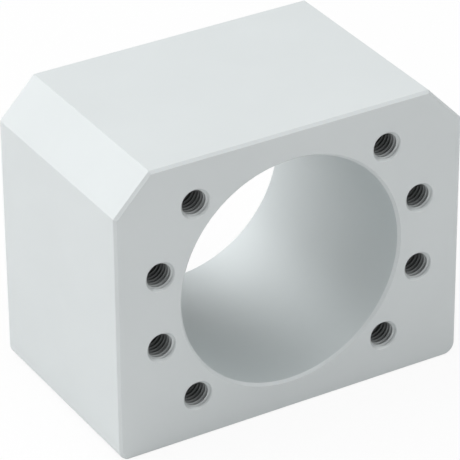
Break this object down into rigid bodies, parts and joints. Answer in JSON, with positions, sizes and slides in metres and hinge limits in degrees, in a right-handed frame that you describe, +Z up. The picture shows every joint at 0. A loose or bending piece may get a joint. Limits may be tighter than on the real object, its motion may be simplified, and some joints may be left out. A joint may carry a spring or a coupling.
{
  "type": "ball screw nut housing",
  "caption": "Bevelled aluminium block, bored to hold a flanged ball screw nut and tapped on its front face for the nut's flange and in its flat base for the slide it drives.",
  "frame": {"origin": "middle of the flat mounting face, below the middle of the bore", "axes": "+Z up, away from the mounting face; Y along the bore, with the face that takes the nut's flange looking along -Y; X across the block"},
  "size_m": [0.1, 0.06, 0.08],
  "materials": {
    "anodised_aluminium": "fine matte, clear anodised over milled and bored faces"
  },
  "bodies": {
    "root": {"nut_housing": "anodised_aluminium"}
  },
  "joints": []
}
